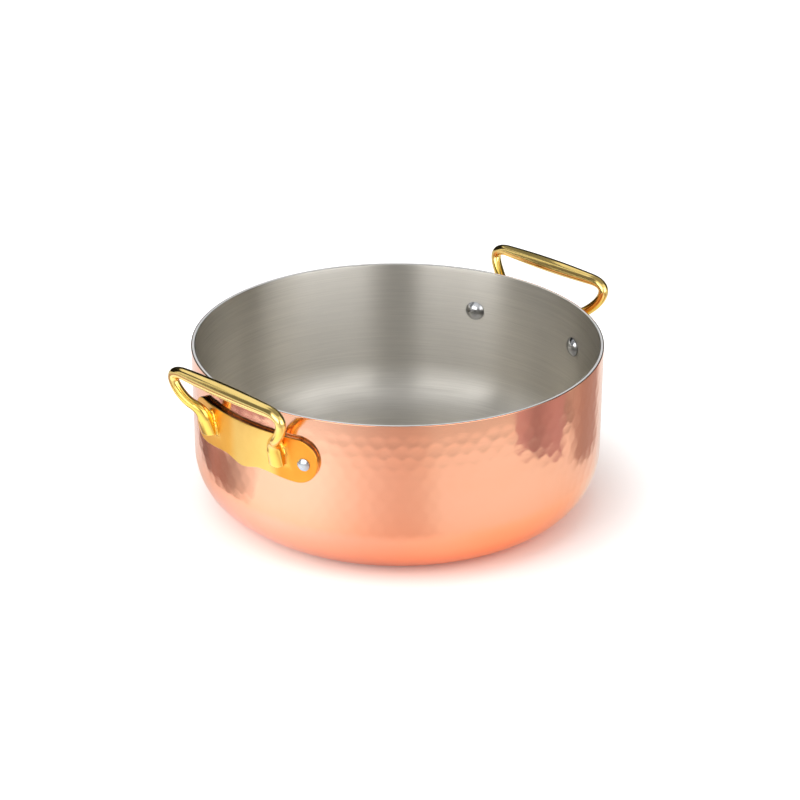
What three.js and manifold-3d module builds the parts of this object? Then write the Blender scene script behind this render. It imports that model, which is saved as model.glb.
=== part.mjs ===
// A low round casserole pot of three-ply metal with two cast brass handles.
// Millimetres, +Z up. The origin is the middle of the base, and the handles lie along X.
import * as THREE from 'three';
import { mergeVertices } from 'three/addons/utils/BufferGeometryUtils.js';
import Module from 'manifold-3d';

const wasm = await Module();
wasm.setup();

// Pot body, from the outside in
const rimRadius = 120;
const potHeight = 99;
const cornerRadius = 34;
const copperThickness = 0.6;
const coreThickness = 1.2;
const liningThickness = 0.5;
const bondClearance = 0.02;
const rimEase = 0.25;

// Handle flange, a curved plate that lies round the wall
const flangeClearance = 0.3;
const flangeThickness = 4;
const flangeTop = 86.4;
const flangeEase = 0.9;
const lobeRadius = 13.1;
const lobeReach = 39.7;
const notchReach = 14.2;
const notchRise = 2.1;
const bellyDrop = 0.7;

// Handle feet, which thicken the flange where the bail starts
const footReach = 27.8;
const footBottom = 70.4;
const footHalfWidth = 5.5;
const footHalfDepth = 3.6;
const footProud = 1.6;

// Handle bail. Its leg bends out of the foot at the neck, then curves by way of the elbow and the
// shoulder, which pull it without lying on it, into the straight grip.
const neckReach = 28;
const neckStand = 1.4;
const neckHeight = 83.6;
const neckLead = 5;
const neckTrail = 6;
const neckHalfWidth = 4.6;
const neckHalfDepth = 3.9;
const elbowReach = 51.7;
const elbowStand = 14.3;
const elbowHeight = 105.2;
const shoulderReach = 55.3;
const gripHalfSpan = 15.3;
const gripStand = 8.4;
const gripHeight = 107.9;
const legRadius = 3;
const gripRadius = 4.4;

// Rivets, two to a handle
const rivetReach = 44.1;
const rivetHeight = 72.2;
const shankRadius = 2.5;
const holeClearance = 0.3;
const seatClearance = 0.15;
const outerHeadRadius = 4;
const outerHeadRise = 1.7;
const innerHeadRadius = 6;
const innerHeadRise = 2.9;
const headEdge = 0.5;

// How far a cutter runs past what it cuts, and how close two points count as one
const cutOverrun = 2;
const weldDistance = 0.0005;

// Facet counts
const bodySegments = 64;
const cornerSteps = 6;
const lobeSteps = 8;
const edgeSteps = 24;
const easeSteps = 2;
const neckSteps = 5;
const legSteps = 12;
const bailSides = 14;
const gripSteps = 4;
const rivetSides = 16;
const domeSteps = 4;

// Radii that several pieces share
const flangeInner = rimRadius + flangeClearance;
const flangeOuter = flangeInner + flangeThickness;
const coreDepth = copperThickness + bondClearance;
const liningDepth = coreDepth + coreThickness + bondClearance;
const liningInner = rimRadius - liningDepth - liningThickness;
const lobeHeight = flangeTop - lobeRadius;

const copper = new THREE.MeshStandardMaterial({ color: 0xe39a76, metalness: 1, roughness: 0.22 });
const aluminium = new THREE.MeshStandardMaterial({ color: 0xc9cac8, metalness: 1, roughness: 0.45 });
const brushedSteel = new THREE.MeshStandardMaterial({ color: 0xbdb8ae, metalness: 1, roughness: 0.38 });
const brass = new THREE.MeshStandardMaterial({ color: 0xe8ab3c, metalness: 1, roughness: 0.16 });
const brightSteel = new THREE.MeshStandardMaterial({ color: 0xc6c8cc, metalness: 1, roughness: 0.2 });

// A closed geometry as a solid that can be joined and cut
function solidOf(geometry) {
  const bare = new THREE.BufferGeometry();
  bare.setAttribute('position', geometry.getAttribute('position'));
  if (geometry.index) bare.setIndex(geometry.index);
  const welded = mergeVertices(bare, weldDistance);
  const corners = welded.index.array;
  const kept = [];
  for (let i = 0; i < corners.length; i += 3) {
    const [a, b, c] = corners.subarray(i, i + 3);
    if (a !== b && b !== c && c !== a) kept.push(a, b, c);
  }
  const vertProperties = welded.getAttribute('position').array;
  return new wasm.Manifold(new wasm.Mesh({ numProp: 3, vertProperties, triVerts: new Uint32Array(kept) }));
}

function geometryOf(solid) {
  const { vertProperties, triVerts } = solid.getMesh();
  const geometry = new THREE.BufferGeometry();
  geometry.setAttribute('position', new THREE.BufferAttribute(vertProperties, 3));
  geometry.setIndex(new THREE.BufferAttribute(triVerts, 1));
  geometry.computeVertexNormals();
  return geometry;
}

function named(name, solid, material) {
  const mesh = new THREE.Mesh(geometryOf(solid), material);
  mesh.name = name;
  return mesh;
}

// A profile of [radius, height] points turned round the Z axis
function turned(profile, segments) {
  const points = profile.map(([radius, height]) => new THREE.Vector2(radius, height));
  return new THREE.LatheGeometry(points, segments).rotateX(Math.PI / 2);
}

// The same, with its axis pointing out of the pot's wall at the given place round the handle
function turnedInWall(profile, reach) {
  return turned(profile, rivetSides).rotateY(Math.PI / 2).rotateZ(reach / flangeOuter).translate(0, 0, rivetHeight);
}

// Half of the body's section, at one depth below the outside: base, rounded corner and wall
function bodyCurve(depth) {
  const bend = cornerRadius - depth;
  const points = [[0, depth]];
  for (let step = 0; step <= cornerSteps; step++) {
    const angle = (step / cornerSteps - 1) * Math.PI / 2;
    points.push([
      rimRadius - cornerRadius + bend * Math.cos(angle),
      cornerRadius + bend * Math.sin(angle),
    ]);
  }
  return points;
}

// One ply of the body. The eases break its outer and inner edge at the rim
function ply(depth, thickness, outerEase, innerEase) {
  const outside = rimRadius - depth;
  const inside = outside - thickness;
  const profile = [
    ...bodyCurve(depth),
    [outside, potHeight - outerEase],
    [outside - outerEase, potHeight],
    [inside + innerEase, potHeight],
    [inside, potHeight - innerEase],
    ...bodyCurve(depth + thickness).reverse(),
  ];
  return solidOf(turned(profile, bodySegments));
}

// A round cutter through the wall or the flange at one rivet
function rivetBore(reach, from, to) {
  const radius = shankRadius + holeClearance;
  return solidOf(turnedInWall([[0, from], [radius, from], [radius, to], [0, to]], reach));
}

function boredPly(solid) {
  const from = liningInner - innerHeadRise - cutOverrun;
  const to = flangeOuter + cutOverrun;
  let bored = solid;
  for (const reach of [-rivetReach, rivetReach]) {
    const bore = rivetBore(reach, from, to);
    bored = bored.subtract(bore).subtract(bore.rotate([0, 0, 180]));
  }
  return bored;
}

// Height of the flange's lower edge: a belly between the feet, two notches and two lobes
function lowerEdge(reach) {
  const ease = (share) => (1 - Math.cos(Math.PI * share)) / 2;
  const lobeBottom = lobeHeight - lobeRadius;
  const notch = lobeBottom + notchRise;
  const belly = lobeBottom - bellyDrop;
  const along = Math.abs(reach);
  if (along < notchReach) return belly + (notch - belly) * ease(along / notchReach);
  return notch + (lobeBottom - notch) * ease((along - notchReach) / (lobeReach - notchReach));
}

// The flange's outline unrolled, as [reach, height] points from the left end along the bottom and back
function flangeOutline() {
  const top = [];
  const bottom = [];
  const lobe = (side, step) => {
    const angle = step / lobeSteps * Math.PI / 2;
    const reach = side * (lobeReach + lobeRadius * Math.cos(angle));
    const rise = lobeRadius * Math.sin(angle);
    top.push([reach, lobeHeight + rise]);
    bottom.push([reach, lobeHeight - rise]);
  };
  for (let step = 0; step <= lobeSteps; step++) lobe(-1, step);
  for (let step = 1; step < edgeSteps; step++) {
    const reach = lobeReach * (2 * step / edgeSteps - 1);
    top.push([reach, flangeTop]);
    bottom.push([reach, lowerEdge(reach)]);
  }
  for (let step = lobeSteps; step >= 0; step--) lobe(1, step);
  return [...bottom, ...top.slice(1, -1).reverse()];
}

// An outline moved inwards, each point along the normal of its neighbours' chord
function inset(outline, distance) {
  return outline.map(([reach, height], i) => {
    const before = outline.at(i - 1);
    const after = outline[(i + 1) % outline.length];
    const run = after[0] - before[0];
    const rise = after[1] - before[1];
    const chord = Math.hypot(run, rise);
    return [reach - distance * rise / chord, height + distance * run / chord];
  });
}

// Closed skin from rings of points: the rings' sides, and a cap on the first and the last ring.
// A cap joins each ring's first half to its second half, so that it follows the wall's curve.
function closedSkin(rings) {
  const count = rings[0].length;
  const positions = rings.flat(2);
  const faces = [];
  for (let ring = 0; ring + 1 < rings.length; ring++) {
    for (let i = 0; i < count; i++) {
      const next = (i + 1) % count;
      const [a, b] = [ring * count + i, ring * count + next];
      faces.push(a, b, b + count, a, b + count, a + count);
    }
  }
  const last = (rings.length - 1) * count;
  for (let i = 0; i < count / 2; i++) {
    const [a, b, c, d] = [i, i + 1, (2 * count - i - 1) % count, (count - i) % count];
    faces.push(a, c, b, a, d, c);
    faces.push(last + a, last + b, last + c, last + a, last + c, last + d);
  }
  const geometry = new THREE.BufferGeometry();
  geometry.setAttribute('position', new THREE.Float32BufferAttribute(positions, 3));
  geometry.setIndex(faces);
  return geometry;
}

// The flange: its outline rolled round the wall, thickened outwards, with an eased outer edge
function flange() {
  const outline = flangeOutline();
  const rolled = (points, radius) => points.map(([reach, height]) => {
    const angle = reach / flangeOuter;
    return [radius * Math.cos(angle), radius * Math.sin(angle), height];
  });
  const rings = [rolled(outline, flangeInner)];
  for (let step = 0; step <= easeSteps; step++) {
    const angle = step / easeSteps * Math.PI / 2;
    const shrink = flangeEase * (1 - Math.cos(angle));
    const radius = flangeOuter - flangeEase * (1 - Math.sin(angle));
    rings.push(rolled(inset(outline, shrink), radius));
  }
  return solidOf(closedSkin(rings));
}

// The bail's centre line with the half width and half depth of its section, from foot to foot.
// Widths lie along the bail's own plane and depths across it.
function bailStations() {
  const place = (reach, stand, height) => new THREE.Vector3(flangeOuter + stand, -reach, height);
  const toward = (from, to, distance) =>
    from.clone().add(to.clone().sub(from).setLength(distance));
  const foot = place(footReach, footProud - footHalfDepth, footBottom);
  const neck = place(neckReach, neckStand, neckHeight);
  const elbow = place(elbowReach, elbowStand, elbowHeight);
  const shoulder = place(shoulderReach, gripStand, gripHeight);
  const gripEnd = place(gripHalfSpan, gripStand, gripHeight);
  const legStart = toward(neck, elbow, neckTrail);
  const neckCurve = new THREE.QuadraticBezierCurve3(toward(neck, foot, neckLead), neck, legStart);
  const legCurve = new THREE.CubicBezierCurve3(legStart, elbow, shoulder, gripEnd);
  const swell = (step) => {
    const share = step / (legSteps + gripSteps / 2);
    return legRadius + (gripRadius - legRadius) * Math.sin(share * Math.PI / 2);
  };
  const stations = [{ at: foot, width: footHalfWidth, depth: footHalfDepth }];
  for (let step = 0; step < neckSteps; step++) {
    const share = step / neckSteps;
    const width = neckHalfWidth + (legRadius - neckHalfWidth) * share;
    const depth = neckHalfDepth + (legRadius - neckHalfDepth) * share;
    stations.push({ at: neckCurve.getPoint(share), width, depth });
  }
  for (let step = 0; step <= legSteps; step++) {
    const at = legCurve.getPoint(step / legSteps);
    stations.push({ at, width: swell(step), depth: swell(step) });
  }
  const mirrored = stations.map((station) => {
    const at = station.at.clone();
    at.y *= -1;
    return { ...station, at };
  }).reverse();
  for (let step = 1; step < gripSteps; step++) {
    const at = gripEnd.clone();
    at.y += 2 * gripHalfSpan * step / gripSteps;
    stations.push({ at, width: swell(legSteps + step), depth: swell(legSteps + step) });
  }
  return [...stations, ...mirrored];
}

// The bail and its feet: an oval section carried along the centre line
function bail() {
  const stations = bailStations();
  const outward = new THREE.Vector3(1, 0, 0);
  const rings = stations.map(({ at, width, depth }, i) => {
    const before = stations[Math.max(i - 1, 0)].at;
    const after = stations[Math.min(i + 1, stations.length - 1)].at;
    const along = after.clone().sub(before).normalize();
    const across = outward.clone().addScaledVector(along, -outward.dot(along)).normalize();
    const aside = across.clone().cross(along);
    const ring = [];
    for (let side = 0; side < bailSides; side++) {
      const angle = side / bailSides * 2 * Math.PI;
      ring.push(at.clone()
        .addScaledVector(across, depth * Math.cos(angle))
        .addScaledVector(aside, -width * Math.sin(angle))
        .toArray());
    }
    return ring;
  });
  return solidOf(closedSkin(rings));
}

// One casting: flange, feet and bail, bored for its two rivets
function handleSolid() {
  let casting = flange().add(bail());
  for (const reach of [-rivetReach, rivetReach]) {
    casting = casting.subtract(rivetBore(reach, flangeInner - cutOverrun, flangeOuter + cutOverrun));
  }
  return casting;
}

// A rivet head's domed side, as [radius, height] points from its edge to its crown
function dome(radius, rise) {
  const sphere = (radius ** 2 + rise ** 2) / (2 * rise);
  const sweep = Math.asin(radius / sphere);
  const points = [];
  for (let step = 0; step <= domeSteps; step++) {
    const angle = sweep * (1 - step / domeSteps);
    points.push([sphere * Math.sin(angle), rise - sphere * (1 - Math.cos(angle))]);
  }
  return points;
}

// A rivet: large domed head inside the pot, shank through wall and flange, small head outside
function rivetSolid(reach) {
  const innerFlat = liningInner * Math.cos(Math.PI / bodySegments);
  const innerSeat = Math.sqrt(innerFlat ** 2 - innerHeadRadius ** 2) - seatClearance;
  const outerSeat = flangeOuter + seatClearance;
  const profile = [
    ...dome(innerHeadRadius, innerHeadRise - headEdge).reverse()
      .map(([radius, rise]) => [radius, innerSeat - headEdge - rise]),
    [innerHeadRadius, innerSeat],
    [shankRadius, innerSeat],
    [shankRadius, outerSeat],
    [outerHeadRadius, outerSeat],
    ...dome(outerHeadRadius, outerHeadRise - headEdge)
      .map(([radius, rise]) => [radius, outerSeat + headEdge + rise]),
  ];
  return solidOf(turnedInWall(profile, reach));
}

function potBody() {
  const body = new THREE.Group();
  const copperShell = ply(0, copperThickness, rimEase, 0);
  const aluminiumCore = ply(coreDepth, coreThickness, 0, 0);
  const steelLining = ply(liningDepth, liningThickness, 0, rimEase);
  body.add(
    named('copper_shell', boredPly(copperShell), copper),
    named('aluminium_core', boredPly(aluminiumCore), aluminium),
    named('steel_lining', boredPly(steelLining), brushedSteel),
  );
  return body;
}

// A handle with its rivets. The right one lies on +X and the left one is turned to face it
function handle(side, turn) {
  const group = new THREE.Group();
  group.rotation.z = turn;
  group.add(named(`${side}_handle`, handleSolid(), brass));
  for (const reach of [-rivetReach, rivetReach]) {
    const towardFront = reach * Math.cos(turn) < 0;
    const place = towardFront ? 'front' : 'back';
    group.add(named(`${side}_handle_${place}_rivet`, rivetSolid(reach), brightSteel));
  }
  return group;
}

const casserole = new THREE.Group();
casserole.add(potBody(), handle('left', Math.PI), handle('right', 0));

export default casserole;
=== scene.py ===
"""A low round casserole pot of hammered copper with a steel lining and two cast brass handles.

The sizes are in metres. Z is up, the handles lie along X, and the middle of the pot's base is at the origin.
"""
import math

import bmesh
import bpy
import numpy as np
from bpy.props import FloatProperty, FloatVectorProperty, IntProperty, PointerProperty
from mathutils import Matrix, Vector


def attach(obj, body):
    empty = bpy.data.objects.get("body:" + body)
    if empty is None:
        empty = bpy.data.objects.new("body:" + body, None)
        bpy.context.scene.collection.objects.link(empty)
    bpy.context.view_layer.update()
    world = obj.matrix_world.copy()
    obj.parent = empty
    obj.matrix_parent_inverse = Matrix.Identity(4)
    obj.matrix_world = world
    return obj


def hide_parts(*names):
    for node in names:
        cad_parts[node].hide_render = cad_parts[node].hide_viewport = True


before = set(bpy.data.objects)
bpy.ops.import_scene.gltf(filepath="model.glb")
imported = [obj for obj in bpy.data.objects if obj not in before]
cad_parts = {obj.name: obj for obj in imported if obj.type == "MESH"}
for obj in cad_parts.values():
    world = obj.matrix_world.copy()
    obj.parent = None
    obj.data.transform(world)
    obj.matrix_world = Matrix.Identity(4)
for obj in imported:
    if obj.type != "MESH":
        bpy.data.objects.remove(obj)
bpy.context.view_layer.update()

bl_info = {
    "name": "Copper casserole pot",
    "version": (1, 0, 0),
    "blender": (4, 5, 0),
    "location": "3D View > Sidebar > Casserole",
    "description": "Makes a hammered copper casserole pot with cast brass handles and its small studio",
    "category": "Add Mesh",
}

MM = 0.001
# Guards against a division by nothing, points that are looked up at a time, and the reach of a merge
NO_LENGTH, NO_SPAN, NO_RATIO = 1e-12, 1e-18, 1e-9
AT_A_TIME, MERGE = 4000, 1e-6
# Hammer marks: stray round and up and least depth as shares of a mark's, ways past the base and below the
# rim over which they fade, and the share that the rim loses
MARK_SEED = 27
MARK_STRAY_SHARES, LEAST_MARK_SHARE = (0.11, 0.10), 0.55
MARKS_BEGIN, MARKS_FULL = 8 * MM, 36 * MM
MARKS_FADE, MARKS_FAINT, RIM_LOSS_SHARE = 10 * MM, 3 * MM, 0.9
# Steps of the plies' sections: flat base, corner and wall; the copper's outer wall takes its other rows
COPPER_STEPS, COPPER_INNER_STEPS = (14, 26), (2, 8, 2)
PLY_OUTER_STEPS, PLY_INNER_STEPS, PLY_COLUMNS = (4, 14, 3), (8, 24, 24), 360
RIM_STEPS = 4
# Where a foot's wide fillet begins below its lower end, and where it is full above it
FILLET_BEGIN, FILLET_FULL = 1 * MM, 6 * MM
# Width over which the flange's colour gives way to the bail's, depth at which its face ends, and the upward
# share of the slope from which the painted shade on its upper edge begins and at which it is full
COLOUR_BLEND, FACE_DEPTH, SHADE_UPWARD = 4 * MM, 0.1 * MM, (-0.1, 0.5)
BAIL_STEPS, LOBE_STEPS, OUTLINE_STEPS = 60, 60, 90
# How far the half outline runs past the flange's middle
OUTLINE_START = -2 * MM
# How a casting's points are moved: rounds, smoothings before each but the first, the slope's probe, the
# longest strides and the least squared slope
ROUNDS, SMOOTHINGS = 4, 2
PROBE, STRIDES, LEAST_SLOPE = 0.02 * MM, (0.8 * MM, 0.4 * MM), 0.25
# Broken corners of the rivet heads, in and up
INNER_CORNER, OUTER_CORNER = (0.25 * MM, 0.2 * MM), (0.2 * MM, 0.15 * MM)
DOME_STEPS, RIVET_COLUMNS = 10, 48
# Facets of the CAD wall, whose flats the inner heads clear
WALL_FACETS = 64

# The photograph's width and the camera's shift in pixels, and the sensor and lens in millimetres
PICTURE, SHIFT_PIXELS = 800, (2.57, 15.12)
SENSOR, LENS = 36, 103.5
FLOOR_LEVEL = -0.3 * MM
# Distances from the pot's middle over which the near sectors fade in, and the floor's far edge darkens as
# painted shade
NEAR_FLOOR, FAR_FLOOR = (0.178, 0.140), (0.270, 0.322)
# The floor's place without glow: how far it lies to the right of the pot's middle, and from where to where
# round it the glow rises; there the pot's own shadow shows, together with a faint painted shade
SHADE_ASIDE, SHADE_EDGE = 0.035, (0.075, 0.145)
# Strength of the world's light, and the point that the soft boxes are turned to
SOFT_LIGHT, LAMP_TARGET = 0.74, Vector((0, 0, 0.05))
# Soft boxes: name, place ahead, to the right and up, side and power
SOFT_BOXES = (
    ("soft_box_left", (0.85, -0.85, 0.85), 0.8, 3.2),
    ("soft_box_right", (0.75, 0.95, 0.85), 0.8, 3.2),
    ("soft_box_top", (0.25, -0.2, 1.6), 1.2, 5.6),
)
# The cards are painted reflections: glowing sheets that only the metals show, putting dark and pale patches
# in them
# Soft ends and top of a card, as shares of its length and height: as good as none
CLEAR_ENDS = (0.001, 0.001, 0.001)
# Name, colour, height, shares of the soft left end, right end and top, and (right, ahead) places
STANDING_CARDS = (
    ("card_right_front", "right_card", 0.09, (0.05, 0.05, 0.1),
     ((0.214, 0.165), (0.217, 0.080), (0.211, 0.039))),
    ("card_right_back", "back_card", 0.09, (0.28, 0.3, 0.1),
     ((0.200, 0.038), (0.178, -0.010), (0.165, -0.075))),
    ("card_left", "left_card", 0.032, (0.2, 0.5, 0.3),
     ((-0.172, -0.085), (-0.158, 0.085), (-0.192, 0.115))),
)
# Name, colour, height above the floor and (right, ahead) corners
LYING_CARDS = (
    ("card_left_far", "right_card", 0.0002,
     ((-0.268, -0.08), (-0.262, 0.10), (-0.246, 0.155), (-0.42, 0.26), (-0.45, -0.12))),
    ("card_right_far", "far_card", 0.0002,
     ((0.246, -0.012), (0.252, 0.045), (0.320, 0.030), (0.310, -0.045))),
    ("card_high", "high_card", 0.258,
     ((-0.030, -0.088), (0.089, -0.267), (0.009, -0.347), (-0.110, -0.168))),
)
GREY = (0.5, 0.5, 0.5)
COOL = (0.66, 0.72, 0.75)
# Half the tones of the floor's painted light and shade in reflections, by degrees round the pot from the
# front direction
FLOOR_SECTORS = (
    (-180, GREY), (-120, GREY), (-84, (0.58, 0.58, 0.58)), (-66, COOL), (-36, COOL),
    (-18, (0.52, 0.50, 0.50)), (-2, (0.40, 0.33, 0.31)), (10, (0.41, 0.36, 0.34)), (18, (0.5, 0.49, 0.48)),
    (50, (0.51, 0.50, 0.48)), (90, (0.5, 0.5, 0.48)), (180, GREY),
)
# The same for the floor close to the pot
NEAR_SECTORS = (
    (-180, GREY), (-120, GREY), (-90, (0.48, 0.44, 0.38)), (-62, (0.60, 0.75, 0.92)),
    (-40, (0.55, 0.76, 0.95)), (-22, (0.52, 0.60, 0.70)), (-3, (0.47, 0.45, 0.47)), (15, (0.55, 0.54, 0.53)),
    (33, (0.55, 0.46, 0.37)), (52, (0.56, 0.51, 0.45)), (72, (0.54, 0.52, 0.46)), (90, (0.57, 0.70, 0.72)),
    (120, GREY), (180, GREY),
)
ROOM_RADIUS = 2.2
# Patches of the dim room in reflections, painted light and shade: from and to, in degrees round and above the
# pot, edge, tone
ROOM_PATCHES = (
    (-190, 190, 60, 96, 8, 0.34), (150, 190, 34, 58, 4, 0.20), (-190, -99, -6, 38, 3, 0.012),
    (150, 190, -6, 38, 3, 0.012), (-92, -66, -6, 58, 5, 0.20), (-62, -26, 32, 58, 6, 1.08),
    (-62, -13, -6, 32, 6, 3.6), (30, 64, 32, 58, 6, 1.0), (16, 64, -6, 32, 6, 3.3), (64, 84, -6, 58, 6, 1.4),
    (-9, 11, -6, 58, 6, 0.80), (-10, 8, -6, 22, 5, 0.30), (84, 150, -6, 58, 8, 0.08),
)


def length(name, description, default):
    """A length property in metres, written here in millimetres."""
    return FloatProperty(name=name, description=description, default=default * MM,
                         precision=5, subtype="DISTANCE", unit="LENGTH")


def tint(name, description, default):
    """A colour property with its default in linear red, green and blue."""
    return FloatVectorProperty(name=name, description=description, default=default,
                               size=3, min=0, max=1, subtype="COLOR")


def bearing(name, description, degrees):
    """An angle property, written here in degrees."""
    return FloatProperty(name=name, description=description, default=math.radians(degrees),
                         subtype="ANGLE", unit="ROTATION")


class PotSizes(bpy.types.PropertyGroup):
    """Sizes of the pot's three plies and of the hammer marks"""
    rim_radius: length("Rim radius", "Outer radius of the pot", 120)
    height: length("Height", "Height of the rim above the table", 99)
    corner: length("Corner radius", "Outer radius between base and wall", 34)
    copper: length("Copper", "Thickness of the copper ply", 0.6)
    core: length("Core", "Thickness of the aluminium ply", 1.2)
    lining: length("Lining", "Thickness of the steel ply", 0.5)
    bond: length("Bond", "Gap between two plies", 0.02)
    ease: length("Rim ease", "Radius of the rim's broken edges", 0.3)
    mark_width: length("Mark width", "Distance between two hammer marks in a row", 9.2)
    mark_rise: length("Mark rise", "Distance between two rows of hammer marks", 6.6)
    mark_depth: length("Mark depth", "Depth of a hammer mark", 0.085)
    around: IntProperty(name="Facets around", description="Facets of the copper round the pot",
                        default=660, min=64)
    rows: IntProperty(name="Facet rows", description="Rows of facets up the copper", default=124, min=16)


class HandleSizes(bpy.types.PropertyGroup):
    """Sizes of a handle's flange, feet and bail"""
    flange_inner: length("Flange inside", "Inner radius of the flange", 120.3)
    flange_outer: length("Flange outside", "Outer radius of the flange", 123.0)
    flange_top: length("Flange top", "Height of the flange's straight upper edge", 86.4)
    flange_ease: length("Flange ease", "Rounding of the flange's outer edge", 0.6)
    lobe_radius: length("Lobe radius", "Radius of the flange's two round ends", 13.1)
    lobe_reach: length("Lobe reach", "Way round the wall to the middle of a lobe", 38.5)
    notch_reach: length("Notch reach", "Way round the wall to a notch", 14)
    notch_rise: length("Notch rise", "Height of a notch above the lobes' lowest point", 2.1)
    belly_drop: length("Belly drop", "Depth of the belly below the lobes' lowest point", 0.7)
    foot_reach: length("Foot reach", "Sideways place of a foot", 27.8)
    foot_bottom: length("Foot bottom", "Height of a foot's lower end", 70.4)
    foot_width: length("Foot half width", "Half the width of a foot", 5.5)
    foot_depth: length("Foot half depth", "Half the depth of a foot", 3.6)
    foot_proud: length("Foot proud", "How far a foot's lower end stands out of the flange", 2.6)
    neck_reach: length("Neck reach", "Sideways place of the neck", 29)
    neck_stand: length("Neck stand", "How far the neck stands out of the flange", 2.4)
    neck_height: length("Neck height", "Height of the neck", 84.7)
    neck_lead: length("Neck lead", "Length of the neck's bend below it", 5)
    neck_trail: length("Neck trail", "Length of the neck's bend above it", 6)
    neck_width: length("Neck half width", "Half the width of the neck", 4.6)
    neck_depth: length("Neck half depth", "Half the depth of the neck", 3.9)
    elbow_reach: length("Elbow reach", "Sideways place of the point that draws the leg out", 40.7)
    elbow_stand: length("Elbow stand", "How far that point stands out of the flange", 10.2)
    elbow_height: length("Elbow height", "Height of that point", 92.7)
    shoulder_reach: length("Shoulder reach", "Sideways place of the point that draws the corner", 52.9)
    grip_half_span: length("Grip half span", "Half the length of the grip's straight part", 33.6)
    grip_stand: length("Grip stand", "How far the grip stands out of the flange", 10.6)
    grip_height: length("Grip height", "Height of the grip's middle", 107.8)
    leg_radius: length("Leg radius", "Radius of the legs", 3)
    grip_radius: length("Grip radius", "Radius of the grip's middle", 4.28)
    crisp_fillet: length("Crisp fillet", "Fillet at a foot's inner side and lower end", 1.7)
    soft_fillet: length("Soft fillet", "Fillet at a foot's outer side", 4.5)
    voxel: length("Voxel", "Size of a facet on the casting", 0.55)


class RivetSizes(bpy.types.PropertyGroup):
    """Sizes of the rivets"""
    reach: length("Reach", "Way round the wall from the handle's middle to a rivet", 43.2)
    height: length("Height", "Height of the rivets", 72.2)
    shank: length("Shank radius", "Radius of a rivet's shank", 2.5)
    hole: length("Hole clearance", "Clearance of the shank in its bores", 0.3)
    seat: length("Seat clearance", "Clearance under a rivet's heads", 0.15)
    outer_radius: length("Outer head radius", "Radius of the small head outside", 3.7)
    outer_rise: length("Outer head rise", "Height of the small head outside", 1.5)
    inner_radius: length("Inner head radius", "Radius of the large head inside the pot", 6)
    inner_rise: length("Inner head rise", "Height of the large head inside the pot", 2.9)
    edge: length("Head edge", "Height of a head's upright edge", 0.5)


class Finishes(bpy.types.PropertyGroup):
    """Colours of the metals, the floor and the cards"""
    copper: tint("Copper", "Polished copper", (0.92, 0.48, 0.32))
    # Deep copper serves the random warm clouds and, towards the base, painted shade that stands in for the
    # floor's shadow the copper reflects
    copper_deep_and_shade: tint("Deep copper", "Copper in its warmer places", (0.95, 0.34, 0.15))
    core: tint("Aluminium", "Cut edge of the core", (0.93, 0.925, 0.91))
    steel: tint("Steel", "Brushed lining", (0.77, 0.74, 0.68))
    brass: tint("Brass", "Polished brass of the bails' legs", (0.92, 0.64, 0.14))
    # Painted highlight: the grips' paler brass stands in for the bright reflections along their top
    grip: tint("Grip brass", "Paler brass of the grips, where hands rub them", (0.95, 0.71, 0.25))
    plate: tint("Flange brass", "Deeper brass of the flanges", (0.97, 0.52, 0.085))
    # Painted light on the flanges: paler between the feet as a painted highlight, deepest at one end as
    # painted shade
    plate_painted_highlight: tint("Pale flange brass", "Paler brass between the feet", (0.96, 0.64, 0.185))
    plate_painted_shade: tint("Deep flange brass", "Deepest brass at a flange's end", (0.92, 0.34, 0.046))
    # Painted shade: the flanges' upper edge is darkened towards this colour, standing in for the shade where
    # they meet the wall
    edge: tint("Flange edge", "Darkened upper edge of the flanges", (0.10, 0.05, 0.03))
    rivet: tint("Rivets", "Bright steel of the rivets", (0.60, 0.61, 0.63))
    floor: tint("Floor", "Pale floor", (0.86, 0.855, 0.85))
    high_card: tint("High card", "Card above and behind the pot", (0.25, 0.26, 0.26))
    far_card: tint("Far card", "Card on the floor on the right", (0.46, 0.40, 0.38))
    right_card: tint("Right card", "Card on the right, towards the front", (0.56, 0.40, 0.45))
    back_card: tint("Back card", "Card on the right, towards the back", (0.50, 0.38, 0.35))
    left_card: tint("Left card", "Card on the left", (0.36, 0.24, 0.225))


class StageSizes(bpy.types.PropertyGroup):
    """Sizes of the camera's view and of the floor"""
    view_turn: bearing("View turn", "Direction of the stage's front, where the camera is", 224.6)
    view_rise: bearing("View rise", "Camera's height above the horizon", 25.145)
    view_roll: bearing("View roll", "Camera's roll", 0.128)
    view_distance: length("View distance", "Camera's distance from the point it looks at", 1361.2)
    view_height: length("View height", "Height of the point that the camera looks at", 49.56)
    floor_size: length("Floor size", "Length of a side of the floor", 24000)


def unit(v):
    """Each row of v divided by its length."""
    return v / np.maximum(np.linalg.norm(v, axis=-1, keepdims=True), NO_LENGTH)


def way_along(points):
    """Length of the way along a row of points, up to each of them."""
    return np.concatenate([[0], np.cumsum(np.linalg.norm(np.diff(points, axis=0), axis=-1))])


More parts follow.
